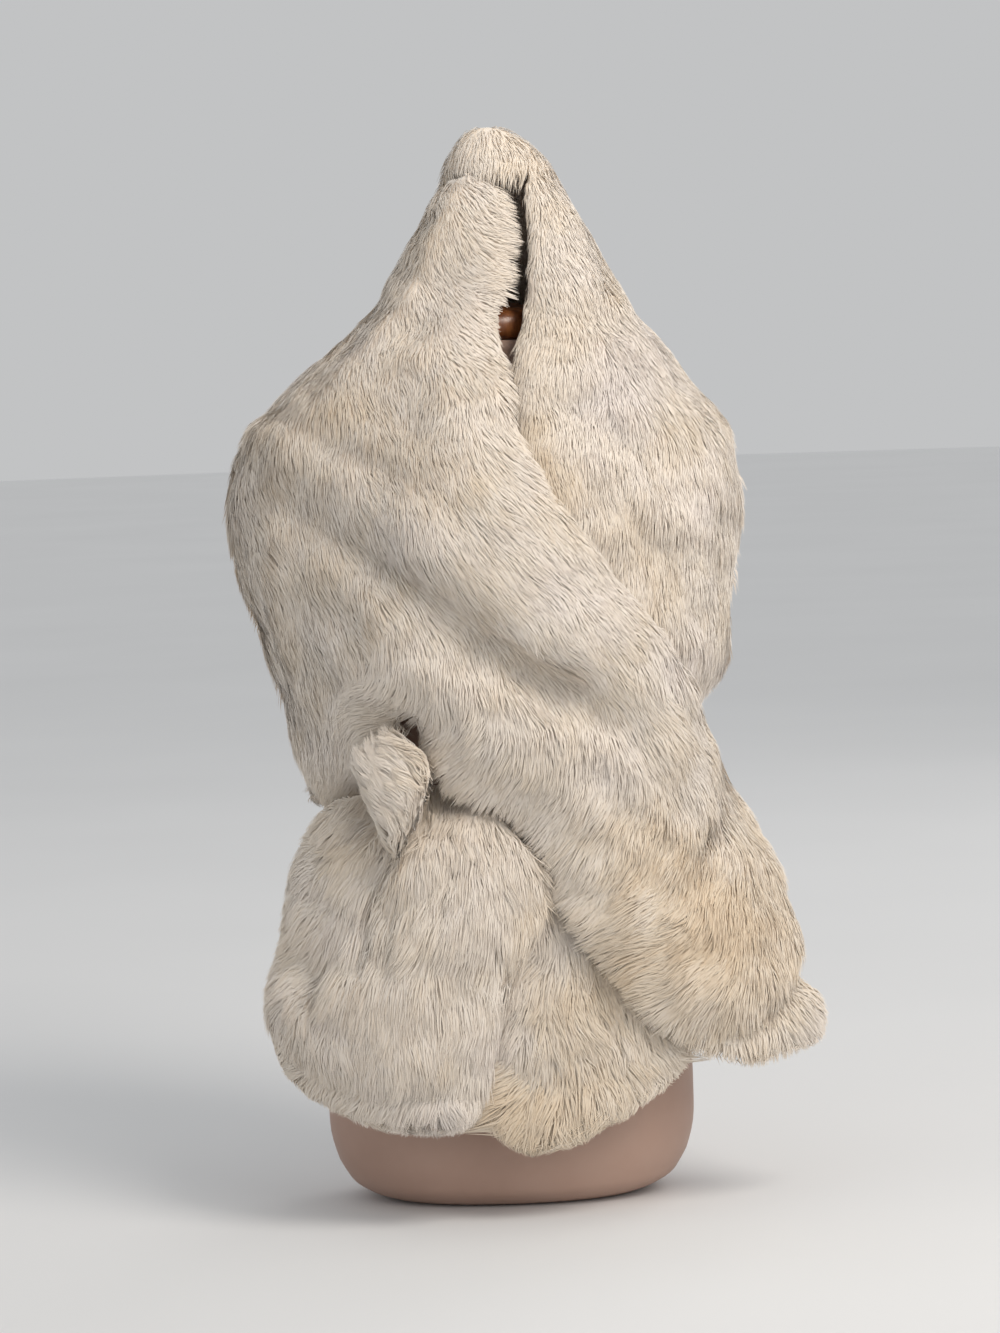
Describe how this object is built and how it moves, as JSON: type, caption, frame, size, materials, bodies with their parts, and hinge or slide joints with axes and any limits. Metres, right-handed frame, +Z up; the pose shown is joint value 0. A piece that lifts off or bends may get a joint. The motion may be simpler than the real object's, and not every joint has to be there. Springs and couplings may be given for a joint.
{
  "type": "fur wrap on a dress form",
  "caption": "Long pale fur stole worn as a high collar wrap, one end pulled through a slit in the other, on a limbless torso form with a turned wood top.",
  "frame": {"origin": "centre of the form's flat underside", "axes": "+Z up along the form, -Y out of the front where the ends of the wrap cross, +X to the viewer's right seen from the front"},
  "size_m": [0.4627, 0.3322, 0.852],
  "materials": {
    "fur": "long soft plush pile, warm off-white",
    "form": "smooth matte, flesh beige",
    "wood": "turned, satin varnish"
  },
  "bodies": {
    "root": {"collar_back": "fur", "over_front": "fur", "under_front": "fur", "through_end": "fur", "over_lower": "fur", "through_fold": "fur", "form_torso": "form", "form_neck_cap": "wood", "form_finial": "wood"}
  },
  "joints": []
}
